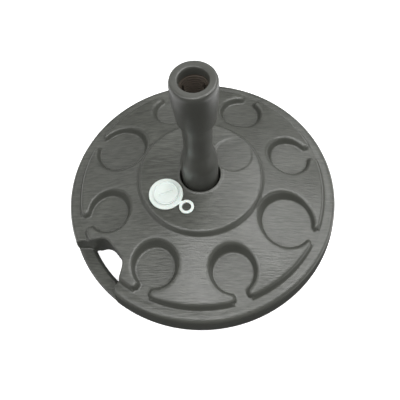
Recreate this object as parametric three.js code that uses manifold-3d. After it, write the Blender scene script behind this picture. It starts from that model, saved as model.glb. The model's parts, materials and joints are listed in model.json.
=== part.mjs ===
// A round, hollow, fillable parasol base of moulded plastic with its stand tube.
// Millimetres, +Z up. The origin is the centre of the face that the base rests on.
// Azimuths are counted from -Y towards +X, as seen from above.

import * as THREE from "three";
import { mergeVertices } from "three/addons/utils/BufferGeometryUtils.js";
import Module from "manifold-3d";

const wasm = await Module();
wasm.setup();

// ---------- driving dimensions ----------

const WALL = 3.5; // wall of the hollow base
const POCKET_WALL = 3.9; // at the corners of the coarser inside
const CLEARANCE = 0.3; // gap between two pieces that rest on each other
const BASE_SEGMENTS = 48;
const INSIDE_SEGMENTS = 32; // the base's hidden inner wall is coarser
const SMALL_SEGMENTS = 32;
const POCKET_SEGMENTS = 24;
const INSIDE_POCKET_SEGMENTS = 14;

// base, from the rim to the middle
const UNDERSIDE_RADIUS = 188;
const UNDERSIDE_HEIGHT = 3; // the underside inside the foot ring is this far off the ground
const FOOT_RING_RADIUS = 193; // inner edge of the ring that touches the ground
const FOOT_RADIUS = 226; // outer edge of that ring
const BASE_RADIUS = 233; // the side wall is widest just above the ground
const BASE_RADIUS_HEIGHT = 9;
const RIM_RADIUS = 226; // top of the side wall, under its rounding
const LEDGE_HEIGHT = 45; // ledge that runs round the rim
const PLATEAU_RADIUS = 203;
const PLATEAU_EDGE_HEIGHT = 57.5;
const DISC_FOOT_RADIUS = 103.5;
const DISC_FOOT_HEIGHT = 86;
const DISC_RADIUS = 98.5;
const DISC_EDGE_HEIGHT = 96;
const DISC_MIDDLE_HEIGHT = 98;
const SOCKET_LIP_HEIGHT = 99.6;
const SOCKET_RADIUS = 32.4;
const SOCKET_FLOOR_RADIUS = 30.2;
const SOCKET_FLOOR_HEIGHT = 10;
const POLE_PAD = { radius: 23, height: 11.2 }; // raised face that the pole stands on, inside the tube's foot
const ABOVE = 130; // a height clear above the whole base
const BELOW = -20;

// keyhole pockets: eight round pockets, each drained by a neck to the ledge
const POCKET_COUNT = 8;
const FIRST_POCKET_AZIMUTH = -31.2;
const POCKET = { centre: 159.5, floorRadius: 32, neckWidth: 18 };
const LARGE_POCKET = { centre: 155.5, floorRadius: 41, neckWidth: 18 };
const LARGE_POCKETS = [2, 6]; // two opposite pockets are larger
const NECK_END = 208; // where a neck meets the ledge
const NECK_FLOOR_HEIGHT = 45.6;
const POCKET_FLOOR_FALL = 0.172; // the floor falls outwards to the neck's end, so rain runs off
const POCKET_DRAFT = 0.36; // how far a wall leans out for each mm of height

// hand grip in the rim: a through hole with a low bar outside it
const GRIP_AZIMUTH = -55;
const GRIP_BAR_THICKNESS = 10;
const GRIP_BAR_RADIUS = 209.5; // inner edge of the bar at its top
const GRIP_HOLE_RADIUS = 203; // outer edge of the hole at the ground
const GRIP_OUTLINE = [
  // distance from the base's axis, width to each side of the grip's azimuth, corner radius
  { along: 177.5, left: 25, right: 25, radius: 16 },
  { along: 198, left: 38, right: 39, radius: 0 },
  { along: 206, left: 50, right: 42, radius: 0 },
  { along: 213, left: 55, right: 43, radius: 0 },
  { along: 222, left: 63, right: 52, radius: 0 },
  { along: 250, left: 84, right: 84, radius: 0 },
];

// filler opening and its closure, on the disc
const FILLER = { azimuth: -60.6, distance: 64.9 };
const SEAT = { radius: 29, height: 97.5 };
const BLANK_SEAT = { radius: 31.2, height: 95.6 }; // a sunk circle opposite the filler
const NECK_BORE = 17;
const NECK_OUTER = 20.5;
const NECK_LENGTH = 18;
const SEAL = { inner: 17.6, outer: 20.6, thickness: 2, sunk: 1.9 };
const PLUG_RING = { outer: 27, inner: 17.4, thickness: 3.2 };
const LOOP = { distance: 39.8, outer: 11.7, inner: 7, azimuth: 51.1, strapWidth: 10 };
const PLUG = { headRadius: 20, headHeight: 3.2, spigotRadius: 16.7, spigotLength: 15, wall: 2.2 };
const PLUG_DISH = { radius: 17.2, depth: 0.8 }; // the head is sunk inside its rim
const PLUG_SLOT = { length: 22, width: 2, depth: 2.4, turn: 15.6 };

// stand tube, with its clamp at the top
const TUBE_FOOT_RADIUS = 29.7;
const TUBE_WALL = 3;
const TUBE_WAIST = { radius: 21, bottom: 176, top: 226 };
const TUBE_HEAD_RADIUS = 25.5;
const TUBE_MOUTH_RADIUS = 24.4; // its mouth narrows downwards and closes the clamp ring
const TUBE_TOP = 308;
const TUBE_BORE = 18.8;
const COLLAR_BOTTOM = 252;
const COLLAR_TOP = 326;
const COLLAR_RADIUS = 30.3;
const COLLAR_BOTTOM_RADIUS = 27.1;
const COLLAR_BORE = 26.1;
const MOUTH_RADIUS = 18.3;
const CLAMP_FLANGE_TOP = 312.4;
const CLAMP_BOTTOM = 268;
const CLAMP_CONE_RADIUS = 23.6;
const CLAMP_SLOTS = 4;
const CLAMP_SLOT = { width: 3, top: 300, firstTurn: 45 };

// ---------- shape helpers ----------

const radians = THREE.MathUtils.degToRad;

function polar(distance, azimuth) {
  return new THREE.Vector2(distance * Math.sin(radians(azimuth)), -distance * Math.cos(radians(azimuth)));
}

// A closed mesh as a solid for cutting and joining.
function toSolid(geometry) {
  const bare = geometry.index ? geometry.toNonIndexed() : geometry.clone();
  for (const name of Object.keys(bare.attributes)) if (name !== "position") bare.deleteAttribute(name);
  const merged = mergeVertices(bare, 1e-4);
  return new wasm.Manifold(
    new wasm.Mesh({
      numProp: 3,
      vertProperties: new Float32Array(merged.attributes.position.array),
      triVerts: new Uint32Array(merged.index.array),
    }),
  );
}

function toGeometry(solid) {
  const mesh = solid.getMesh();
  const geometry = new THREE.BufferGeometry();
  geometry.setAttribute("position", new THREE.BufferAttribute(new Float32Array(mesh.vertProperties), 3));
  geometry.setIndex(new THREE.BufferAttribute(new Uint32Array(mesh.triVerts), 1));
  return geometry;
}

// Corners [x, y, radius] become points, with each rounded corner as a short curve.
function rounded(corners, closed, steps = 2) {
  const points = [];
  corners.forEach(([x, y, radius = 0], index) => {
    const corner = new THREE.Vector2(x, y);
    const isEnd = !closed && (index === 0 || index === corners.length - 1);
    if (!radius || isEnd) {
      points.push(corner);
      return;
    }
    const [beforeX, beforeY] = corners.at(index - 1);
    const [afterX, afterY] = corners[(index + 1) % corners.length];
    const back = new THREE.Vector2(beforeX - x, beforeY - y);
    const ahead = new THREE.Vector2(afterX - x, afterY - y);
    const reach = Math.min(radius, back.length() * 0.49, ahead.length() * 0.49);
    const start = corner.clone().add(back.setLength(reach));
    const end = corner.clone().add(ahead.setLength(reach));
    points.push(...new THREE.QuadraticBezierCurve(start, corner, end).getPoints(steps));
  });
  return points;
}

// A profile [radius, height, corner radius], given anticlockwise, turned round +Z.
// It starts and ends on the axis, or closes on itself when ring is true.
function turned(corners, { ring = false, segments = BASE_SEGMENTS, steps = 2 } = {}) {
  const points = rounded(corners, ring, steps);
  if (ring) points.push(points[0].clone());
  return toSolid(new THREE.LatheGeometry(points, segments).rotateX(Math.PI / 2));
}

// An outline of points, extruded upwards from one height to another.
function prism(points, bottom, top) {
  const geometry = new THREE.ExtrudeGeometry(new THREE.Shape(points), {
    depth: top - bottom,
    bevelEnabled: false,
  });
  return toSolid(geometry.translate(0, 0, bottom));
}

function drum(radius, bottom, top, segments = SMALL_SEGMENTS) {
  return turned([[0, bottom], [radius, bottom], [radius, top], [0, top]], { segments });
}

// Turns a solid made along +X to an azimuth.
function atAzimuth(solid, azimuth) {
  return solid.rotate([0, 0, azimuth - 90]);
}

function piece(name, solid, colour, roughness) {
  const material = new THREE.MeshStandardMaterial({ color: colour, roughness, metalness: 0 });
  const mesh = new THREE.Mesh(toGeometry(solid), material);
  mesh.name = name;
  return mesh;
}

// ---------- hollow base ----------

function baseOutside() {
  return turned([
    [0, UNDERSIDE_HEIGHT],
    [UNDERSIDE_RADIUS, UNDERSIDE_HEIGHT],
    [FOOT_RING_RADIUS, 0],
    [FOOT_RADIUS, 0, 5],
    [BASE_RADIUS, BASE_RADIUS_HEIGHT, 7],
    [RIM_RADIUS, LEDGE_HEIGHT - 0.5, 9],
    [PLATEAU_RADIUS + 5, LEDGE_HEIGHT + 0.5],
    [PLATEAU_RADIUS, PLATEAU_EDGE_HEIGHT, 3],
    [DISC_FOOT_RADIUS, DISC_FOOT_HEIGHT],
    [DISC_RADIUS, DISC_EDGE_HEIGHT, 3],
    [SOCKET_RADIUS + 2, DISC_MIDDLE_HEIGHT],
    [SOCKET_RADIUS + 1.4, SOCKET_LIP_HEIGHT],
    [SOCKET_RADIUS, SOCKET_LIP_HEIGHT],
    [SOCKET_FLOOR_RADIUS + 0.6, 76],
    [SOCKET_FLOOR_RADIUS, SOCKET_FLOOR_HEIGHT],
    [POLE_PAD.radius + 1, SOCKET_FLOOR_HEIGHT],
    [POLE_PAD.radius, POLE_PAD.height],
    [0, POLE_PAD.height],
  ]);
}

function baseInside() {
  return turned(
    [
      [SOCKET_FLOOR_RADIUS + WALL + 1, UNDERSIDE_HEIGHT + WALL],
      [UNDERSIDE_RADIUS + 2, UNDERSIDE_HEIGHT + WALL],
      [FOOT_RING_RADIUS + 2, WALL],
      [FOOT_RADIUS - 2, WALL],
      [BASE_RADIUS - WALL - 0.5, BASE_RADIUS_HEIGHT + 3],
      [RIM_RADIUS - WALL, LEDGE_HEIGHT - WALL - 6],
      [RIM_RADIUS - WALL - 7, LEDGE_HEIGHT - WALL],
      [PLATEAU_RADIUS + 1.5, LEDGE_HEIGHT - WALL + 0.5],
      [PLATEAU_RADIUS - 3.5, PLATEAU_EDGE_HEIGHT - WALL + 0.6],
      [DISC_FOOT_RADIUS - 2.5, DISC_FOOT_HEIGHT - WALL + 0.5],
      [DISC_RADIUS - 3.5, DISC_EDGE_HEIGHT - WALL],
      [SOCKET_RADIUS + WALL + 1, DISC_MIDDLE_HEIGHT - WALL],
    ],
    { ring: true, segments: INSIDE_SEGMENTS, steps: 1 },
  );
}

// The space of one keyhole pocket, made larger all round by grow.
function pocketSpace({ centre, floorRadius, neckWidth }, azimuth, grow, segments) {
  const floorHeight = NECK_FLOOR_HEIGHT + POCKET_FLOOR_FALL * (NECK_END - centre);
  const top = ABOVE - floorHeight;
  const radius = floorRadius + grow;
  const bowl = turned([[0, 0], [radius, 0], [radius + POCKET_DRAFT * top, top], [0, top]], { segments });
  const half = neckWidth / 2 + grow;
  const lean = POCKET_DRAFT * top;
  const reach = NECK_END + grow - centre;
  const section = [
    [-half, 0],
    [half, 0],
    [half + lean, top],
    [-half - lean, top],
  ].map(([x, y]) => new THREE.Vector2(x, y));
  const channel = new THREE.ExtrudeGeometry(new THREE.Shape(section), { depth: reach, bevelEnabled: false });
  channel.rotateX(Math.PI / 2).rotateZ(Math.PI / 2);
  const keyhole = bowl.add(toSolid(channel));
  const sloped = keyhole.warp((vertex) => {
    const depthShare = 1 - vertex[2] / top;
    vertex[2] += floorHeight - grow - POCKET_FLOOR_FALL * vertex[0] * depthShare;
    vertex[0] += centre;
  });
  return atAzimuth(sloped, azimuth);
}

function allPockets(grow, segments) {
  const pockets = [];
  for (let index = 0; index < POCKET_COUNT; index++) {
    const size = LARGE_POCKETS.includes(index) ? LARGE_POCKET : POCKET;
    pockets.push(pocketSpace(size, FIRST_POCKET_AZIMUTH + (index * 360) / POCKET_COUNT, grow, segments));
  }
  return wasm.Manifold.union(pockets);
}

// The outline of the hand grip from above, over the whole height.
function gripPrism(grow) {
  const inwards = (along) => along - (along === GRIP_OUTLINE[0].along ? grow : 0);
  const right = GRIP_OUTLINE.map(({ along, right: width, radius }) => [inwards(along), width + grow, radius]);
  const left = GRIP_OUTLINE.map(({ along, left: width, radius }) => [inwards(along), -width - grow, radius]);
  const outline = rounded([...left.reverse(), ...right], true, 4);
  return atAzimuth(prism(outline, BELOW, ABOVE), GRIP_AZIMUTH);
}

// What the grip removes: the hole, and everything above the low bar outside it.
function gripSpace() {
  const room = turned([
    [0, BELOW],
    [GRIP_HOLE_RADIUS, BELOW],
    [GRIP_HOLE_RADIUS, 0],
    [GRIP_BAR_RADIUS, GRIP_BAR_THICKNESS],
    [BASE_RADIUS + 40, GRIP_BAR_THICKNESS],
    [BASE_RADIUS + 40, ABOVE],
    [0, ABOVE],
  ]);
  return gripPrism(0).intersect(room);
}

function makeBaseShell() {
  const filler = polar(FILLER.distance, FILLER.azimuth);
  const blank = polar(FILLER.distance, FILLER.azimuth + 180);
  const here = (solid) => solid.translate([filler.x, filler.y, 0]);
  const opposite = (solid) => solid.translate([blank.x, blank.y, 0]);
  const neckBottom = SEAT.height - NECK_LENGTH;
  const blankRoof = opposite(drum(BLANK_SEAT.radius + WALL, BLANK_SEAT.height - WALL, ABOVE));
  const seatRoof = here(drum(SEAT.radius + WALL, SEAT.height - WALL - 1, ABOVE));
  const neck = here(drum(NECK_OUTER + WALL, neckBottom, SEAT.height - 1));

  const cavity = baseInside()
    .subtract(allPockets(POCKET_WALL, INSIDE_POCKET_SEGMENTS))
    .subtract(gripPrism(WALL))
    .subtract(blankRoof)
    .subtract(seatRoof)
    .subtract(neck);

  return baseOutside()
    .add(here(drum(SEAT.radius, SEAT.height - 2, SEAT.height)))
    .subtract(cavity)
    .subtract(allPockets(0, POCKET_SEGMENTS))
    .subtract(gripSpace())
    .subtract(here(drum(SEAT.radius, SEAT.height, ABOVE)))
    .subtract(opposite(drum(BLANK_SEAT.radius, BLANK_SEAT.height, ABOVE)))
    .subtract(here(drum(SEAL.outer + 0.4, SEAT.height - SEAL.sunk - CLEARANCE, ABOVE)))
    .subtract(here(drum(NECK_BORE, neckBottom - 5, ABOVE)));
}

// ---------- filler closure, made at the origin and moved to the filler ----------

const sealTop = SEAT.height - SEAL.sunk + SEAL.thickness;
const ringBottom = sealTop + CLEARANCE;
const ringTop = ringBottom + PLUG_RING.thickness;
const headBottom = ringTop + CLEARANCE;
const headTop = headBottom + PLUG.headHeight;

function makePlugSeal() {
  const bottom = sealTop - SEAL.thickness;
  const corners = [
    [SEAL.inner, bottom, 0.6],
    [SEAL.outer, bottom, 0.6],
    [SEAL.outer, sealTop, 0.6],
    [SEAL.inner, sealTop, 0.6],
  ];
  return turned(corners, { ring: true, segments: 32, steps: 1 });
}

// A flat ring held under the plug's head, with a small loop to pull it by.
function makePlugRing() {
  const turn = LOOP.azimuth - 90;
  const loopAt = (solid) => solid.translate([LOOP.distance, 0, 0]).rotate([0, 0, turn]);
  const strapHalf = LOOP.strapWidth / 2;
  const strapStart = PLUG_RING.outer - 4;
  const strapEnd = LOOP.distance - LOOP.inner + 1;
  const strap = [
    [strapStart, -strapHalf],
    [strapEnd, -strapHalf],
    [strapEnd, strapHalf],
    [strapStart, strapHalf],
  ].map(([x, y]) => new THREE.Vector2(x, y));
  return drum(PLUG_RING.outer, ringBottom, ringTop)
    .add(prism(strap, ringBottom, ringTop).rotate([0, 0, turn]))
    .add(loopAt(drum(LOOP.outer, ringBottom, ringTop, 28)))
    .subtract(loopAt(drum(LOOP.inner, BELOW, ABOVE, 28)))
    .subtract(drum(PLUG_RING.inner, BELOW, ABOVE));
}

// The screw plug: a flat head with a coin slot, on a hollow spigot open at the bottom.
function makeFillerPlug() {
  const spigotBottom = ringBottom - PLUG.spigotLength;
  const body = turned(
    [
      [0, headBottom],
      [PLUG.spigotRadius - PLUG.wall, headBottom],
      [PLUG.spigotRadius - PLUG.wall, spigotBottom],
      [PLUG.spigotRadius, spigotBottom],
      [PLUG.spigotRadius, headBottom],
      [PLUG.headRadius, headBottom],
      [PLUG.headRadius, headTop, 1],
      [PLUG_DISH.radius + 1, headTop],
      [PLUG_DISH.radius, headTop - PLUG_DISH.depth],
      [0, headTop - PLUG_DISH.depth],
    ],
    { segments: SMALL_SEGMENTS },
  );
  const slot = new THREE.BoxGeometry(PLUG_SLOT.length, PLUG_SLOT.width, PLUG_SLOT.depth * 2);
  slot.rotateZ(radians(PLUG_SLOT.turn)).translate(0, 0, headTop);
  return body.subtract(toSolid(slot));
}

// ---------- stand tube and its clamp ----------

function makeStandTube() {
  const bottom = SOCKET_FLOOR_HEIGHT + CLEARANCE;
  return turned(
    [
      [TUBE_FOOT_RADIUS - TUBE_WALL, bottom],
      [TUBE_FOOT_RADIUS, bottom, 1],
      [TUBE_FOOT_RADIUS, 76],
      [TUBE_FOOT_RADIUS - 0.4, 104],
      [TUBE_FOOT_RADIUS - 1.2, 146, 8],
      [TUBE_WAIST.radius, TUBE_WAIST.bottom, 14],
      [TUBE_WAIST.radius, TUBE_WAIST.top, 10],
      [TUBE_HEAD_RADIUS - 1.5, 250, 4],
      [TUBE_HEAD_RADIUS, 254],
      [TUBE_HEAD_RADIUS, TUBE_TOP],
      [TUBE_MOUTH_RADIUS, TUBE_TOP],
      [TUBE_BORE, CLAMP_BOTTOM - 14],
      [TUBE_BORE, TUBE_WAIST.bottom, 10],
      [TUBE_FOOT_RADIUS - TUBE_WALL - 0.6, 144, 8],
      [TUBE_FOOT_RADIUS - TUBE_WALL, 104],
    ],
    { ring: true, segments: SMALL_SEGMENTS },
  );
}

// A split conical ring: its fingers close on the pole when it is pushed down the tube's mouth.
function makeClampRing() {
  const flangeBottom = TUBE_TOP + CLEARANCE;
  const ring = turned(
    [
      [MOUTH_RADIUS + 0.4, CLAMP_BOTTOM],
      [MOUTH_RADIUS + 1.6, CLAMP_BOTTOM],
      [CLAMP_CONE_RADIUS, TUBE_TOP - 1],
      [CLAMP_CONE_RADIUS, flangeBottom],
      [TUBE_HEAD_RADIUS - 0.6, flangeBottom],
      [TUBE_HEAD_RADIUS - 0.6, CLAMP_FLANGE_TOP],
      [MOUTH_RADIUS + 1, CLAMP_FLANGE_TOP],
      [MOUTH_RADIUS + 0.4, CLAMP_FLANGE_TOP - 4],
    ],
    { ring: true, segments: 36 },
  );
  let cut = ring;
  for (let index = 0; index < CLAMP_SLOTS; index++) {
    const length = CLAMP_SLOT.top - CLAMP_BOTTOM + 2;
    const slot = new THREE.BoxGeometry(20, CLAMP_SLOT.width, length);
    slot.translate(MOUTH_RADIUS + 10, 0, CLAMP_SLOT.top - length / 2);
    cut = cut.subtract(toSolid(slot).rotate([0, 0, CLAMP_SLOT.firstTurn + (index * 360) / CLAMP_SLOTS]));
  }
  return cut;
}

// The collar screws down over the tube's head and pushes the clamp ring into it.
function makeClampCollar() {
  const shoulder = CLAMP_FLANGE_TOP + CLEARANCE;
  return turned(
    [
      [COLLAR_BORE, COLLAR_BOTTOM],
      [COLLAR_BOTTOM_RADIUS, COLLAR_BOTTOM],
      [COLLAR_RADIUS - 0.4, 290],
      [COLLAR_RADIUS, 308],
      [COLLAR_RADIUS, COLLAR_TOP - 7, 2],
      [COLLAR_RADIUS - 2.6, COLLAR_TOP - 6],
      [COLLAR_RADIUS - 2.8, COLLAR_TOP, 2],
      [MOUTH_RADIUS + 2, COLLAR_TOP, 1.2],
      [MOUTH_RADIUS, COLLAR_TOP - 3],
      [MOUTH_RADIUS, shoulder],
      [COLLAR_BORE, shoulder],
    ],
    { ring: true, segments: 40, steps: 1 },
  );
}

// ---------- assembly ----------

const GREY = "#55574f";
const WHITE = "#eef3ef";

const parasolBase = new THREE.Group();
parasolBase.add(piece("base_shell", makeBaseShell(), GREY, 0.5));

const standTube = new THREE.Group();
standTube.add(piece("stand_tube", makeStandTube(), GREY, 0.45));
standTube.add(piece("clamp_ring", makeClampRing(), "#2b2c2a", 0.5));
standTube.add(piece("clamp_collar", makeClampCollar(), GREY, 0.4));
parasolBase.add(standTube);

const closure = new THREE.Group();
const fillerPlace = polar(FILLER.distance, FILLER.azimuth);
closure.position.set(fillerPlace.x, fillerPlace.y, 0);
closure.add(piece("plug_seal", makePlugSeal(), "#1d1d1d", 0.8));
closure.add(piece("plug_ring", makePlugRing(), WHITE, 0.4));
closure.add(piece("filler_plug", makeFillerPlug(), WHITE, 0.35));
parasolBase.add(closure);

export default parasolBase;
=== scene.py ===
"""A fillable parasol base of dark grey moulded plastic, with its stand tube, collar and white filler plug.

Shapes are worked out in millimetres and turned into metres when a mesh is made.
Azimuths are counted from -Y towards +X, as seen from above.
"""

import functools
import json
import math

import bpy
import numpy as np
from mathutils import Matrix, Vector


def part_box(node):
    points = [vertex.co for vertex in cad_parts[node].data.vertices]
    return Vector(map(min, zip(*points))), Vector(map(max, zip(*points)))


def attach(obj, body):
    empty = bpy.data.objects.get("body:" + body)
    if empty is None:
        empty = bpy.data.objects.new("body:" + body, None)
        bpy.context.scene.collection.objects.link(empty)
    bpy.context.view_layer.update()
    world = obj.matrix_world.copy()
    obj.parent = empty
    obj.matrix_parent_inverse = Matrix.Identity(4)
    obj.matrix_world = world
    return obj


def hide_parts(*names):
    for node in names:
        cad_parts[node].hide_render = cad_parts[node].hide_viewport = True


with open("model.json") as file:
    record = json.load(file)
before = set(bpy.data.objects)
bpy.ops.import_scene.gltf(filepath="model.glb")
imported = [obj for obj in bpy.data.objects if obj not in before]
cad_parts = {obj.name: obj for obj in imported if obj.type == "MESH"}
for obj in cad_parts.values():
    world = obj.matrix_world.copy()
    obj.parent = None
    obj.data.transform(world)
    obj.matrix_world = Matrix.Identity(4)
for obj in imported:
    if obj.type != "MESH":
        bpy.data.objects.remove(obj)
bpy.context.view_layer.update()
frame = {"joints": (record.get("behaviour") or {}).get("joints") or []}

import openvdb
from mathutils import Matrix, Vector

MM = 0.001
CLEARANCE = 0.3  # millimetres between two pieces that rest on each other

# ---------- sizes taken from the frame ----------


def node_box(node):
    """Lowest and highest corner of a CAD node, in millimetres."""
    low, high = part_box(node)
    return np.array(low) / MM, np.array(high) / MM


def joint_place(name):
    joint = next(j for j in frame["joints"] if j["name"] == name)
    return np.array(joint["pos_m"]) / MM


_, base_high = node_box("base_shell")
tube_low, tube_high = node_box("stand_tube")
clamp_low, clamp_high = node_box("clamp_ring")
collar_low, collar_high = node_box("clamp_collar")
ring_low, ring_high = node_box("plug_ring")
plug_low, plug_high = node_box("filler_plug")
seal_low, seal_high = node_box("plug_seal")

BASE_RADIUS = base_high[0]
LIP_HEIGHT = base_high[2]
FILLER_X, FILLER_Y = joint_place("plug_turn")[:2]
COLLAR_TOP = collar_high[2]
COLLAR_BOTTOM = collar_low[2]
COLLAR_RADIUS = collar_high[0]
TUBE_TOP = tube_high[2]
TUBE_BOTTOM = tube_low[2]

# ---------- the base's own sizes ----------

UNDERSIDE_RADIUS = 188.0
FOOT_RING_RADIUS = 193.0  # inner edge of the ring that touches the ground
FOOT_RADIUS = BASE_RADIUS - 7
BASE_RADIUS_HEIGHT = 9.0  # the side wall is widest here
RIM_RADIUS = 226.0
LEDGE_HEIGHT = 45.0
PLATEAU_RADIUS = 203.0
PLATEAU_EDGE_HEIGHT = 57.5
DISC_FOOT_RADIUS = 103.5
DISC_FOOT_HEIGHT = 86.0
DISC_RADIUS = 98.5
DISC_EDGE_HEIGHT = 96.0
DISC_MIDDLE_HEIGHT = 98.0
SOCKET_RADIUS = 32.4
SOCKET_FLOOR_RADIUS = 30.2
SOCKET_FLOOR_HEIGHT = 10.0
SOCKET_TAPER_HEIGHT = 76.0  # the socket narrows a little below this height
UNDERSIDE_HEIGHT = 3.0
POLE_PAD_RADIUS = 23.0
POLE_PAD_HEIGHT = 11.2

POCKET_COUNT = 8
FIRST_POCKET_AZIMUTH = -31.2
POCKET = {"centre": 159.5, "radius": 32.0, "neck": 9.0}
LARGE_POCKET = {"centre": 155.5, "radius": 41.0, "neck": 9.0}
LARGE_POCKETS = (2, 6)
TIP_RADIUS = 5.0
NECK_END = 208.0
NECK_FLOOR_HEIGHT = 45.6
POCKET_FALL = 0.172
POCKET_DRAFT = 0.36

GRIP_AZIMUTH = -55.0
GRIP_BAR_HEIGHT = 10.0
GRIP_BAR_RADIUS = 209.5
GRIP_HOLE_RADIUS = 203.0

GRIP_INNER_CORNER = 16.0
GRIP_OTHER_CORNERS = 8.0

SEAT_RADIUS = 29.0
SEAT_HEIGHT = 97.5
BLANK_RADIUS = 31.2
BLANK_HEIGHT = 95.6
NECK_BORE = 17.0
NECK_DEPTH = 24.0

# ---------- signed distances, negative inside a solid ----------


def smooth_max(a, b, k):
    share = np.clip(0.5 + 0.5 * (a - b) / k, 0, 1)
    return b * (1 - share) + a * share + k * share * (1 - share)


def smooth_min(a, b, k):
    return -smooth_max(-a, -b, k)


def smoothstep(low, high, value):
    share = np.clip((value - low) / (high - low), 0, 1)
    return share * share * (3 - 2 * share)


def polygon_distance(corners, x, y):
    """Signed distance from points to a closed polygon, negative inside."""
    nearest = np.full(x.shape, 1e9)
    inside = np.zeros(x.shape, bool)
    for (ax, ay), (bx, by) in zip(corners, np.roll(corners, -1, axis=0)):
        ex, ey = bx - ax, by - ay
        along = np.clip(((x - ax) * ex + (y - ay) * ey) / (ex * ex + ey * ey + 1e-12), 0, 1)
        gap = (x - ax - along * ex) ** 2 + (y - ay - along * ey) ** 2
        nearest = np.minimum(nearest, gap)
        crosses = (ay > y) != (by > y)
        inside ^= crosses & (x < ax + ex * (y - ay) / (ey if ey else 1e-12))
    return np.where(inside, -1, 1) * np.sqrt(nearest)


def rounded(corners, steps=5):
    """Corners (x, y, radius) of a closed outline, each rounded one as a short curve."""
    points = []
    count = len(corners)
    for index, (x, y, radius) in enumerate(corners):
        corner = np.array((x, y), float)
        if not radius:
            points.append(corner)
            continue
        before = np.array(corners[index - 1][:2]) - corner
        after = np.array(corners[(index + 1) % count][:2]) - corner
        reach = min(radius, np.hypot(*before) * 0.49, np.hypot(*after) * 0.49)
        start = corner + before / np.hypot(*before) * reach
        end = corner + after / np.hypot(*after) * reach
        for t in np.linspace(0, 1, steps + 1):
            points.append((1 - t) ** 2 * start + 2 * t * (1 - t) * corner + t * t * end)
    return np.array(points)


def revolved(corners, radius, heights):
    """Distance to a turned solid: its half profile is measured once, then looked up by radius and height."""
    step = 0.5
    radii = np.arange(0, radius.max() + 3, step)
    grid_r, grid_z = np.meshgrid(radii, heights, indexing="ij")
    table = polygon_distance(rounded(corners), grid_r, grid_z)
    place = radius / step
    first = place.astype(int)
    share = (place - first)[..., None]
    return table[first] * (1 - share) + table[first + 1] * share


def voxel_mesh(name, field, low, steps):
    """The surface where a field of distances is zero, as a mesh object in metres."""
    grid = openvdb.FloatGrid(10.0)
    grid.copyFromArray(field.astype(np.float32))
    points, quads = grid.convertToQuads()
    points = (np.array(low) + points * np.array(steps)) * MM
    mesh = bpy.data.meshes.new(name)
    mesh.vertices.add(len(points))
    mesh.vertices.foreach_set("co", points.astype(np.float32).ravel())
    quads = quads.astype(np.int32)
    mesh.loops.add(quads.size)
    mesh.loops.foreach_set("vertex_index", quads.ravel())
    mesh.polygons.add(len(quads))
    mesh.polygons.foreach_set("loop_start", np.arange(0, quads.size, 4, dtype=np.int32))
    mesh.update(calc_edges=True)
    mesh.validate()
    mesh.shade_smooth()
    return add_object(name, mesh)


def grid_round(low, high, steps, margin=2):
    """The corner and the three axes of a grid that encloses a box with a margin."""
    start = low - margin
    return start, [np.arange(start[i], high[i] + margin, steps[i]) for i in range(3)]


def add_object(name, mesh):
    piece = bpy.data.objects.new(name, mesh)
    bpy.context.scene.collection.objects.link(piece)
    return piece


# ---------- the hollow base ----------

PAST_AXIS = -20.0  # profiles that reach the axis run on past it, so that the middle stays smooth

BASE_PROFILE = [
    # radius, height, corner radius; anticlockwise from the middle of the underside
    (PAST_AXIS, UNDERSIDE_HEIGHT, 0),
    (UNDERSIDE_RADIUS, UNDERSIDE_HEIGHT, 3),
    (FOOT_RING_RADIUS, 0, 3),
    (FOOT_RADIUS, 0, 6),
    (BASE_RADIUS, BASE_RADIUS_HEIGHT, 7),
    (RIM_RADIUS, LEDGE_HEIGHT - 0.5, 10),
    (PLATEAU_RADIUS + 5, LEDGE_HEIGHT + 0.5, 2),
    (PLATEAU_RADIUS, PLATEAU_EDGE_HEIGHT, 4),
    (DISC_FOOT_RADIUS, DISC_FOOT_HEIGHT, 2),
    (DISC_RADIUS, DISC_EDGE_HEIGHT, 4),
    (SOCKET_RADIUS + 4, DISC_MIDDLE_HEIGHT, 3),
    (SOCKET_RADIUS + 1.6, LIP_HEIGHT, 1.6),
    (SOCKET_RADIUS, LIP_HEIGHT - 0.8, 1.2),
    (SOCKET_FLOOR_RADIUS + 0.6, SOCKET_TAPER_HEIGHT, 4),
    (SOCKET_FLOOR_RADIUS, SOCKET_FLOOR_HEIGHT, 3),
    (POLE_PAD_RADIUS + 1, SOCKET_FLOOR_HEIGHT, 0.5),
    (POLE_PAD_RADIUS, POLE_PAD_HEIGHT, 0.5),
    (PAST_AXIS, POLE_PAD_HEIGHT, 0),
]

GRIP_SIDES = [
    # distance from the axis, width to the left and to the right of the grip's azimuth
    (177.5, 25, 25),
    (198, 38, 39),
    (206, 50, 42),
    (213, 55, 43),
    (222, 63, 52),
    (250, 84, 84),
]


def local_axes(azimuth, x, y):
    """Distance along an azimuth, and to its side (positive towards larger azimuths)."""
    angle = math.radians(azimuth)
    along = x * math.sin(angle) - y * math.cos(angle)
    beside = x * math.cos(angle) + y * math.sin(angle)
    return along, beside


def pocket_void(size, azimuth, x, y, z):
    """Inside of one keyhole pocket: a drafted bowl joined to a neck, over a floor that falls outwards."""
    along, beside = local_axes(azimuth, x, y)
    floor = NECK_FLOOR_HEIGHT + POCKET_FALL * np.maximum(NECK_END - along, 0)
    above = np.maximum(z - floor, 0)
    slant = 1 / math.hypot(1, POCKET_DRAFT)
    bowl = np.hypot(along - size["centre"], beside) - size["radius"] - POCKET_DRAFT * above
    into_tip = np.clip((along - PLATEAU_RADIUS + TIP_RADIUS) / TIP_RADIUS, 0, 1)
    flare = TIP_RADIUS * (1 - np.sqrt(1 - into_tip**2))
    neck = np.abs(beside) - size["neck"] - POCKET_DRAFT * above - flare
    neck = smooth_max(neck, size["centre"] - along, 2)
    walls = smooth_min(bowl, neck, 4) * slant
    return smooth_max(walls, floor - z, 2.5)


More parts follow.
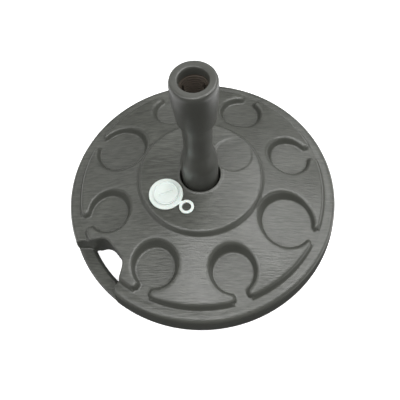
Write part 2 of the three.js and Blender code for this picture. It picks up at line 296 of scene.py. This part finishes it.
def grip_void(x, y, z, radius, heights):
    """What the hand grip removes: a hole, and everything above the low bar outside it."""
    along, beside = local_axes(GRIP_AZIMUTH, x[..., 0], y[..., 0])
    left = [(distance, -width) for distance, width, _ in GRIP_SIDES][::-1]
    right = [(distance, width) for distance, _, width in GRIP_SIDES]
    inner_edge = GRIP_SIDES[0][0]
    outline = [
        (distance, side, GRIP_INNER_CORNER if distance == inner_edge else GRIP_OTHER_CORNERS)
        for distance, side in left + right
    ]
    sides = polygon_distance(rounded(outline), along, beside)[..., None]
    below, outside = -40, BASE_RADIUS + 60
    bar = [
        (GRIP_HOLE_RADIUS, below, 0),
        (GRIP_HOLE_RADIUS, 0, 2),
        (GRIP_BAR_RADIUS, GRIP_BAR_HEIGHT, 3),
        (outside, GRIP_BAR_HEIGHT, 0),
        (outside, below, 0),
    ]
    return smooth_max(sides, -revolved(bar, radius, heights), 3)


def carve(field, void, x, y, z, centre, reach, k):
    """Cuts a void out of the field, working only on the part of the grid near it."""
    keep_x = np.where(np.abs(x[:, 0, 0] - centre[0]) < reach)[0]
    keep_y = np.where(np.abs(y[0, :, 0] - centre[1]) < reach)[0]
    part = np.s_[keep_x[0]:keep_x[-1] + 1, keep_y[0]:keep_y[-1] + 1]
    near = void(x[part], y[part], z)
    field[part] = smooth_max(field[part], -near, k)


def sunk_circle(centre, radius, floor, k):
    """The space above a round floor, as a function of place."""

    def void(x, y, z):
        return smooth_max(np.hypot(x - centre[0], y - centre[1]) - radius, floor - z, k)

    return void


def make_base_shell():
    steps = ((1.3, 1.3, 0.9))
    low = (-BASE_RADIUS - 6, -BASE_RADIUS - 6, -5)
    axis = np.arange(low[0], BASE_RADIUS + 6, steps[0])
    heights = np.arange(low[2], LIP_HEIGHT + 4, steps[2])
    x, y = np.meshgrid(axis, axis, indexing="ij")
    radius = np.hypot(x, y)
    field = revolved(BASE_PROFILE, radius, heights)
    x, y = x[..., None], y[..., None]
    z = heights[None, None, :]

    filler, opposite = (FILLER_X, FILLER_Y), (-FILLER_X, -FILLER_Y)
    blank = sunk_circle(opposite, BLANK_RADIUS, BLANK_HEIGHT, 1.5)
    seat = sunk_circle(filler, SEAT_RADIUS, SEAT_HEIGHT, 1)
    bore = sunk_circle(filler, NECK_BORE, SEAT_HEIGHT - NECK_DEPTH, 1)
    carve(field, blank, x, y, z, opposite, 45, 1.2)
    carve(field, seat, x, y, z, filler, 45, 1)
    carve(field, bore, x, y, z, filler, 30, 1)

    # edges are crisp at the ledge and softer higher up
    edge_rounding = 0.6 + 4.4 * smoothstep(LEDGE_HEIGHT + 2, LEDGE_HEIGHT + 8, z)
    for index in range(POCKET_COUNT):
        size = LARGE_POCKET if index in LARGE_POCKETS else POCKET
        azimuth = FIRST_POCKET_AZIMUTH + index * 360 / POCKET_COUNT
        angle = math.radians(azimuth)
        centre = (size["centre"] * math.sin(angle), -size["centre"] * math.cos(angle))
        void = functools.partial(pocket_void, size, azimuth)
        carve(field, void, x, y, z, centre, 75, edge_rounding)

    field = smooth_max(field, -grip_void(x, y, z, radius, heights), 4)
    return voxel_mesh("base_shell_skin", field, low, steps)


# ---------- turned pieces ----------


def turned_mesh(name, corners, segments=128, steps=5, along=None, relief=None, centre=(0, 0)):
    """A closed ring profile turned round Z. along cuts long edges to that length;
    relief(angle, radius, height) moves a point in or out."""
    profile = rounded(corners, steps)
    if along:
        finer = []
        for start, end in zip(profile, np.roll(profile, -1, axis=0)):
            count = max(1, int(np.hypot(*(end - start)) / along))
            finer += [start + (end - start) * i / count for i in range(count)]
        profile = np.array(finer)
    rows = len(profile)
    angles = np.arange(segments) * 2 * math.pi / segments
    angle, r = np.meshgrid(angles, profile[:, 0], indexing="ij")
    z = np.broadcast_to(profile[:, 1], r.shape)
    if relief:
        r = r + relief(angle, r, z)
    points = np.stack((r * np.cos(angle) + centre[0], r * np.sin(angle) + centre[1], z), -1)
    faces = []
    for i in range(segments):
        ahead = (i + 1) % segments
        for j in range(rows):
            above = (j + 1) % rows
            faces.append((i * rows + j, ahead * rows + j, ahead * rows + above, i * rows + above))
    mesh = bpy.data.meshes.new(name)
    mesh.from_pydata((points.reshape(-1, 3) * MM).tolist(), [], faces)
    mesh.validate()
    mesh.shade_smooth()
    return add_object(name, mesh)


def make_stand_tube():
    foot, waist, head = 29.7, 21.0, 25.5
    bore, mouth, wall = 18.8, 24.4, 3
    corners = [
        (foot - wall, TUBE_BOTTOM, 1),
        (foot, TUBE_BOTTOM, 2),
        (foot, 76, 4),
        (foot - 0.4, 104, 10),
        (foot - 1.0, 147, 9),
        (waist, 179, 9),
        (waist, 226, 12),
        (head - 1.8, COLLAR_BOTTOM - 3, 5),
        (head - 0.4, COLLAR_BOTTOM + 6, 2),
        (head - 0.4, TUBE_TOP, 1),
        (mouth, TUBE_TOP, 0.5),
        (bore, 254, 6),
        (bore, 178, 18),
        (foot - wall - 0.6, 146, 12),
        (foot - wall, 104, 10),
    ]

    def parting_lines(angle, r, z):
        """Two faint ridges where the halves of the mould met."""
        height, width, turn = 0.22, 0.03, 0.5
        off = np.abs(np.sin(angle - turn))
        below_collar = smoothstep(COLLAR_BOTTOM, COLLAR_BOTTOM - 6, z)
        return height * np.exp(-((off / width) ** 2)) * below_collar

    return turned_mesh("stand_tube_skin", corners, 160, 6, 6, parting_lines)


def make_clamp_collar():
    """The screw collar: widest at its head, with a soft rim round the mouth."""
    shoulder = clamp_high[2] + CLEARANCE
    bore, mouth = 26.1, 18.3
    corners = [
        (bore, COLLAR_BOTTOM, 0.4),
        (bore + 1, COLLAR_BOTTOM, 0.6),
        (COLLAR_RADIUS - 0.5, 290, 14),
        (COLLAR_RADIUS, 308, 6),
        (COLLAR_RADIUS, COLLAR_TOP - 6, 6),
        (COLLAR_RADIUS - 2.0, COLLAR_TOP, 2.5),
        (mouth + 1.2, COLLAR_TOP - 0.6, 1.6),
        (mouth, COLLAR_TOP - 3, 2),
        (mouth, shoulder, 0.5),
        (bore, shoulder, 0.5),
    ]
    return turned_mesh("clamp_collar_skin", corners, 144, 6)


def make_clamp_ring():
    """The split conical ring, with grip ridges inside and slots between its fingers."""
    mouth, cone = 18.7, 23.6
    slots, first_slot, slot_half, slot_height = 4, 45, 1.5, 32
    ridge_pitch, ridge_height = 4, 0.35
    steps = (0.5, 0.5, 0.5)
    low, axes = grid_round(clamp_low, clamp_high, steps)
    x, y = np.meshgrid(axes[0], axes[1], indexing="ij")
    flange = TUBE_TOP + CLEARANCE
    flange_radius = clamp_high[0] - 0.1
    profile = [
        (mouth, clamp_low[2], 0.6),
        (mouth + 1.2, clamp_low[2], 0.4),
        (cone, TUBE_TOP - 1, 0),
        (cone, flange, 0),
        (flange_radius, flange, 0.5),
        (flange_radius, clamp_high[2], 0.8),
        (mouth + 0.8, clamp_high[2], 0.8),
        (mouth, clamp_high[2] - 3, 1),
    ]
    field = revolved(profile, np.hypot(x, y), axes[2])
    x, y, z = x[..., None], y[..., None], axes[2][None, None, :]
    near_mouth = np.hypot(x, y) < mouth + 1.5
    field = field - ridge_height * np.cos(z * 2 * math.pi / ridge_pitch) * near_mouth
    slot_top = clamp_low[2] + slot_height
    for index in range(slots):
        along, beside = local_axes(first_slot + index * 360 / slots, x, y)
        slot = smooth_max(smooth_max(np.abs(beside) - slot_half, -along, 0.5), z - slot_top, 0.8)
        field = smooth_max(field, -slot, 0.5)
    return voxel_mesh("clamp_ring_skin", field, low, steps)


# ---------- filler closure ----------


def make_plug_seal():
    """The rubber ring under the plug's ring."""
    outer, width = (seal_high[0] - seal_low[0]) / 2, 3
    corners = [
        (outer - width, seal_low[2], 1),
        (outer, seal_low[2], 1),
        (outer, seal_high[2], 1),
        (outer - width, seal_high[2], 1),
    ]
    return turned_mesh("plug_seal_skin", corners, 96, 5, centre=(FILLER_X, FILLER_Y))


def make_plug_ring():
    """The flat ring and its pull loop, with soft moulded edges."""
    outer, inner = 27.0, 17.4
    loop_far, loop_outer, loop_inner = 39.8, 11.7, 7.0
    loop_azimuth = 51.1
    steps = (0.4, 0.4, 0.25)
    low, axes = grid_round(ring_low, ring_high, steps)
    x, y, z = np.meshgrid(*axes, indexing="ij", sparse=True)
    along, beside = local_axes(loop_azimuth, x - FILLER_X, y - FILLER_Y)
    flange = np.hypot(along, beside) - outer
    loop = np.hypot(along - loop_far, beside) - loop_outer
    plan = smooth_min(flange, loop, 3.5)
    holes = np.minimum(np.hypot(along, beside) - inner, np.hypot(along - loop_far, beside) - loop_inner)
    plan = np.maximum(plan, -holes)
    middle, half = (ring_low[2] + ring_high[2]) / 2, (ring_high[2] - ring_low[2]) / 2
    field = smooth_max(plan, np.abs(z - middle) - half, 1.2)
    return voxel_mesh("plug_ring_skin", field, low, steps)


def make_filler_plug():
    """The screw plug: a low-domed head with a coin slot and rim, on a hollow threaded spigot."""
    head_radius = (plug_high[0] - plug_low[0]) / 2
    spigot, wall, pitch, thread_depth = 16.7, 2.2, 6.0, 0.9
    head_bottom = ring_high[2] + CLEARANCE
    slot_turn, slot_half_length, slot_half_width, slot_depth = 15.6, 11.2, 1.1, 2.5
    dish_radius, dish_depth = 17.2, 0.9
    steps = (0.4, 0.4, 0.3)
    low, axes = grid_round(plug_low, plug_high, steps)
    x, y = np.meshgrid(axes[0], axes[1], indexing="ij")
    radius = np.hypot(x - FILLER_X, y - FILLER_Y)
    profile = [
        (PAST_AXIS / 2, head_bottom, 0),
        (spigot - wall, head_bottom, 1),
        (spigot - wall, plug_low[2], 0.6),
        (spigot - thread_depth, plug_low[2], 0.6),
        (spigot - thread_depth, head_bottom, 0),
        (head_radius, head_bottom, 0.4),
        (head_radius, plug_high[2], 1.2),
        (dish_radius + 0.9, plug_high[2], 0.7),
        (dish_radius, plug_high[2] - dish_depth, 0.7),
        (PAST_AXIS / 2, plug_high[2] - dish_depth + 0.3, 0),
    ]
    field = revolved(profile, radius, axes[2])
    x, y, z = x[..., None], y[..., None], axes[2][None, None, :]
    angle = np.arctan2(y - FILLER_Y, x - FILLER_X)
    turn = (z / pitch - angle / (2 * math.pi)) % 1
    crest = thread_depth * smoothstep(0.28, 0.5, 0.5 - np.abs(turn - 0.5))
    on_spigot = (z < head_bottom - 1.5) & (z > plug_low[2] + 1.5)
    on_spigot = on_spigot & (radius[..., None] > spigot - wall / 2)
    field = field - crest * on_spigot
    turned = math.radians(slot_turn)
    across = (x - FILLER_X) * math.cos(turned) + (y - FILLER_Y) * math.sin(turned)
    beside = -(x - FILLER_X) * math.sin(turned) + (y - FILLER_Y) * math.cos(turned)
    slot = smooth_max(np.abs(across) - slot_half_length, np.abs(beside) - slot_half_width, 0.5)
    slot = smooth_max(slot, plug_high[2] - slot_depth - z, 0.4)
    field = smooth_max(field, -slot, 0.5)
    return voxel_mesh("filler_plug_skin", field, low, steps)


# ---------- materials ----------


def new_material(name):
    material = bpy.data.materials.new(name)
    material.use_nodes = True
    return material, material.node_tree.nodes, material.node_tree.links


def add_node(nodes, kind, **values):
    node = nodes.new(kind)
    for key, value in values.items():
        if hasattr(node, key):
            setattr(node, key, value)
        else:
            node.inputs[key.replace("_", " ")].default_value = value
    return node


def moulded_plastic(name, colour, roughness, grain=0.5, streaks=0.0):
    """Satin plastic: mottled colour and roughness, a fine pebble grain, a painted highlight along convex
    edges and, if asked, brushed streaks.
    """
    material, nodes, links = new_material(name)
    shader = nodes["Principled BSDF"]
    shader.inputs["IOR"].default_value = 1.5
    place = add_node(nodes, "ShaderNodeTexCoord")

    cloud = add_node(nodes, "ShaderNodeTexNoise", Scale=14, Detail=5, Roughness=0.6)
    links.new(place.outputs["Object"], cloud.inputs["Vector"])
    tone = add_node(nodes, "ShaderNodeValToRGB")
    tone.color_ramp.elements[0].position = 0.3
    tone.color_ramp.elements[0].color = (*[c * 0.86 for c in colour], 1)
    tone.color_ramp.elements[1].position = 0.72
    tone.color_ramp.elements[1].color = (*[c * 1.12 for c in colour], 1)
    links.new(cloud.outputs["Fac"], tone.inputs["Fac"])

    stretch = add_node(nodes, "ShaderNodeMapping", vector_type="TEXTURE")
    stretch.inputs["Rotation"].default_value = (0, 0, math.radians(-5.3))
    stretch.inputs["Scale"].default_value = (0.018, 0.0026, 0.01)
    links.new(place.outputs["Object"], stretch.inputs["Vector"])
    brushed = add_node(nodes, "ShaderNodeTexNoise", Scale=1, Detail=3, Roughness=0.55)
    links.new(stretch.outputs["Vector"], brushed.inputs["Vector"])

    facing = add_node(nodes, "ShaderNodeNewGeometry")
    split = add_node(nodes, "ShaderNodeSeparateXYZ")
    links.new(facing.outputs["Normal"], split.inputs["Vector"])
    upward = add_node(nodes, "ShaderNodeMapRange", interpolation_type="SMOOTHSTEP")
    upward.inputs["From Min"].default_value = 0.75
    upward.inputs["From Max"].default_value = 0.95
    upward.inputs["To Max"].default_value = streaks
    links.new(split.outputs["Z"], upward.inputs["Value"])

    streaked = add_node(nodes, "ShaderNodeMix", data_type="RGBA", blend_type="OVERLAY")
    links.new(upward.outputs["Result"], streaked.inputs["Factor"])
    links.new(tone.outputs["Color"], streaked.inputs["A"])
    links.new(brushed.outputs["Fac"], streaked.inputs["B"])

    # painted highlight: convex edges, found by pointiness, are blended up to 15% towards a paler copy of the
    # colour, standing in for the shine along the rims
    edges = add_node(nodes, "ShaderNodeMapRange", interpolation_type="SMOOTHSTEP")
    edges.inputs["From Min"].default_value = 0.505
    edges.inputs["From Max"].default_value = 0.56
    edges.inputs["To Max"].default_value = 0.15
    links.new(facing.outputs["Pointiness"], edges.inputs["Value"])
    painted_edge_highlight = add_node(nodes, "ShaderNodeMix", data_type="RGBA")
    painted_edge_highlight.inputs["B"].default_value = (*[min(1, c * 1.9 + 0.02) for c in colour], 1)
    links.new(edges.outputs["Result"], painted_edge_highlight.inputs["Factor"])
    links.new(streaked.outputs["Result"], painted_edge_highlight.inputs["A"])
    links.new(painted_edge_highlight.outputs["Result"], shader.inputs["Base Color"])

    gloss = add_node(nodes, "ShaderNodeMapRange")
    gloss.inputs["To Min"].default_value = roughness - 0.07
    gloss.inputs["To Max"].default_value = roughness + 0.09
    links.new(cloud.outputs["Fac"], gloss.inputs["Value"])
    links.new(gloss.outputs["Result"], shader.inputs["Roughness"])

    pebble = add_node(nodes, "ShaderNodeTexNoise", Scale=900, Detail=2, Roughness=0.5)
    links.new(place.outputs["Object"], pebble.inputs["Vector"])
    fine = add_node(nodes, "ShaderNodeBump", Strength=grain * 0.35, Distance=0.0003)
    links.new(pebble.outputs["Fac"], fine.inputs["Height"])
    ridge_height = add_node(nodes, "ShaderNodeMath", operation="MULTIPLY")
    links.new(brushed.outputs["Fac"], ridge_height.inputs[0])
    links.new(upward.outputs["Result"], ridge_height.inputs[1])
    ridges = add_node(nodes, "ShaderNodeBump", Strength=1.0, Distance=0.0007)
    links.new(ridge_height.outputs["Value"], ridges.inputs["Height"])
    links.new(fine.outputs["Normal"], ridges.inputs["Normal"])
    links.new(ridges.outputs["Normal"], shader.inputs["Normal"])
    return material


def white_plastic(name):
    material, nodes, links = new_material(name)
    shader = nodes["Principled BSDF"]
    shader.inputs["IOR"].default_value = 1.5
    shader.inputs["Subsurface Weight"].default_value = 0.08
    shader.inputs["Subsurface Scale"].default_value = 0.002
    place = add_node(nodes, "ShaderNodeTexCoord")
    cloud = add_node(nodes, "ShaderNodeTexNoise", Scale=45, Detail=4, Roughness=0.6)
    links.new(place.outputs["Object"], cloud.inputs["Vector"])
    tone = add_node(nodes, "ShaderNodeValToRGB")
    tone.color_ramp.elements[0].position = 0.3
    tone.color_ramp.elements[0].color = (0.55, 0.60, 0.57, 1)
    tone.color_ramp.elements[1].position = 0.7
    tone.color_ramp.elements[1].color = (0.62, 0.67, 0.64, 1)
    links.new(cloud.outputs["Fac"], tone.inputs["Fac"])
    links.new(tone.outputs["Color"], shader.inputs["Base Color"])
    gloss = add_node(nodes, "ShaderNodeMapRange")
    gloss.inputs["To Min"].default_value = 0.3
    gloss.inputs["To Max"].default_value = 0.45
    links.new(cloud.outputs["Fac"], gloss.inputs["Value"])
    links.new(gloss.outputs["Result"], shader.inputs["Roughness"])
    fine = add_node(nodes, "ShaderNodeTexNoise", Scale=1200, Detail=1)
    links.new(place.outputs["Object"], fine.inputs["Vector"])
    bump = add_node(nodes, "ShaderNodeBump", Strength=0.12, Distance=0.0002)
    links.new(fine.outputs["Fac"], bump.inputs["Height"])
    links.new(bump.outputs["Normal"], shader.inputs["Normal"])
    return material


def finish_piece(piece, body, node, material):
    piece.data.materials.clear()
    piece.data.materials.append(material)
    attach(piece, body)
    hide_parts(node)


# ---------- studio ----------


def make_floor():
    mesh = bpy.data.meshes.new("studio_floor")
    half = 6.0
    corners = [(-half, -half, 0), (half, -half, 0), (half, half, 0), (-half, half, 0)]
    mesh.from_pydata(corners, [], [(0, 1, 2, 3)])
    floor = add_object("studio_floor", mesh)
    material, nodes, _ = new_material("floor_paper")
    shader = nodes["Principled BSDF"]
    shader.inputs["Base Color"].default_value = (0.9, 0.9, 0.9, 1)
    shader.inputs["Roughness"].default_value = 0.9
    shader.inputs["Emission Color"].default_value = (1, 1, 1, 1)
    shader.inputs["Emission Strength"].default_value = 0.55
    mesh.materials.append(material)
    floor.visible_diffuse = False
    floor.visible_glossy = False


SOFTBOX_DISTANCE = 1.6
SOFTBOXES = [
    # azimuth, elevation, width, power in watts
    (0, 65, 0.7, 9.0),
    (135, 65, 0.7, 8.6),
    (-45, 65, 0.7, 3.8),
    (90, 40, 0.7, 8.6),
    (135, 40, 0.7, 2.6),
    (180, 40, 0.7, 2.4),
    (225, 40, 0.7, 2.0),
    (270, 40, 0.7, 3.4),
    (315, 40, 0.7, 5.2),
    # two small ones for the shine on the front of the plateau
    (70, 62, 0.35, 5.5),
    (0, 74, 0.3, 1.2),
]
CARD_SIZE = (0.8, 1.0)
CARD_HEIGHT = 0.004
CARDS = [
    # place across the floor, power in watts: two glowing cards lie on the floor beside the base
    (-0.65, 3.4),
    (0.65, 4.7),
]


def add_area_light(name, place, direction, size, power):
    light = bpy.data.lights.new(name, "AREA")
    light.shape = "RECTANGLE"
    light.size, light.size_y = size
    light.energy = power
    lamp = bpy.data.objects.new(name, light)
    lamp.location = place
    lamp.rotation_euler = direction.to_track_quat("-Z", "Y").to_euler()
    lamp.visible_camera = False
    bpy.context.scene.collection.objects.link(lamp)


def make_lights():
    """A ring of softboxes, brighter on the right, with nothing straight above."""
    world = bpy.data.worlds.new("studio")
    bpy.context.scene.world = world
    world.use_nodes = True
    world.node_tree.nodes["Background"].inputs["Color"].default_value = (1, 1, 1, 1)
    world.node_tree.nodes["Background"].inputs["Strength"].default_value = 0.09
    for number, (azimuth, elevation, width, power) in enumerate(SOFTBOXES):
        turn, lift = math.radians(azimuth), math.radians(elevation)
        away = Vector((math.cos(lift) * math.sin(turn), -math.cos(lift) * math.cos(turn), math.sin(lift)))
        add_area_light(f"softbox_{number}", away * SOFTBOX_DISTANCE, -away, (width, width), power)
    for number, (across, power) in enumerate(CARDS):
        add_area_light(f"card_{number}", (across, 0.1, CARD_HEIGHT), Vector((0, 0, 1)), CARD_SIZE, power)


CAMERA_AIM = (-0.0039, 0.0, 0.0)  # metres
CAMERA_DISTANCE = 0.8124
CAMERA_ELEVATION = 64.6  # degrees
CAMERA_ROLL = -4.8
SENSOR_WIDTH = 36
LENS = 40.46


def make_camera():
    """The camera stands in front, high above the base, leaning a few degrees to one side."""
    aim = Vector(CAMERA_AIM)
    elevation, roll = math.radians(CAMERA_ELEVATION), math.radians(CAMERA_ROLL)
    data = bpy.data.cameras.new("camera")
    data.sensor_width = SENSOR_WIDTH
    data.lens = LENS
    camera = bpy.data.objects.new("camera", data)
    back = Vector((0, -math.cos(elevation), math.sin(elevation)))
    right = Vector((1, 0, 0))
    up = back.cross(right)
    tilted_right = math.cos(roll) * right + math.sin(roll) * up
    tilted_up = -math.sin(roll) * right + math.cos(roll) * up
    turn = Matrix((tilted_right, tilted_up, back)).transposed()
    camera.matrix_world = Matrix.Translation(aim + back * CAMERA_DISTANCE) @ turn.to_4x4()
    bpy.context.scene.collection.objects.link(camera)
    bpy.context.scene.camera = camera


# ---------- assembly ----------

BASE_GREY = (0.061, 0.063, 0.055)
TUBE_GREY = (0.051, 0.052, 0.046)
CLAMP_BLACK = (0.075, 0.062, 0.05)
SEAL_BLACK = (0.02, 0.02, 0.02)

base_plastic = moulded_plastic("base_plastic", BASE_GREY, 0.3, streaks=0.8)
tube_plastic = moulded_plastic("tube_plastic", TUBE_GREY, 0.3)
clamp_plastic = moulded_plastic("clamp_plastic", CLAMP_BLACK, 0.4)
seal_rubber = moulded_plastic("seal_rubber", SEAL_BLACK, 0.75)
plug_plastic = white_plastic("plug_plastic")

finish_piece(make_base_shell(), "base", "base_shell", base_plastic)
finish_piece(make_stand_tube(), "tube", "stand_tube", tube_plastic)
finish_piece(make_clamp_ring(), "clamp", "clamp_ring", clamp_plastic)
finish_piece(make_clamp_collar(), "collar", "clamp_collar", tube_plastic)
finish_piece(make_plug_seal(), "base", "plug_seal", seal_rubber)
finish_piece(make_plug_ring(), "ring", "plug_ring", plug_plastic)
finish_piece(make_filler_plug(), "plug", "filler_plug", plug_plastic)

make_floor()
make_lights()
make_camera()
bpy.context.scene.view_settings.view_transform = "Standard"
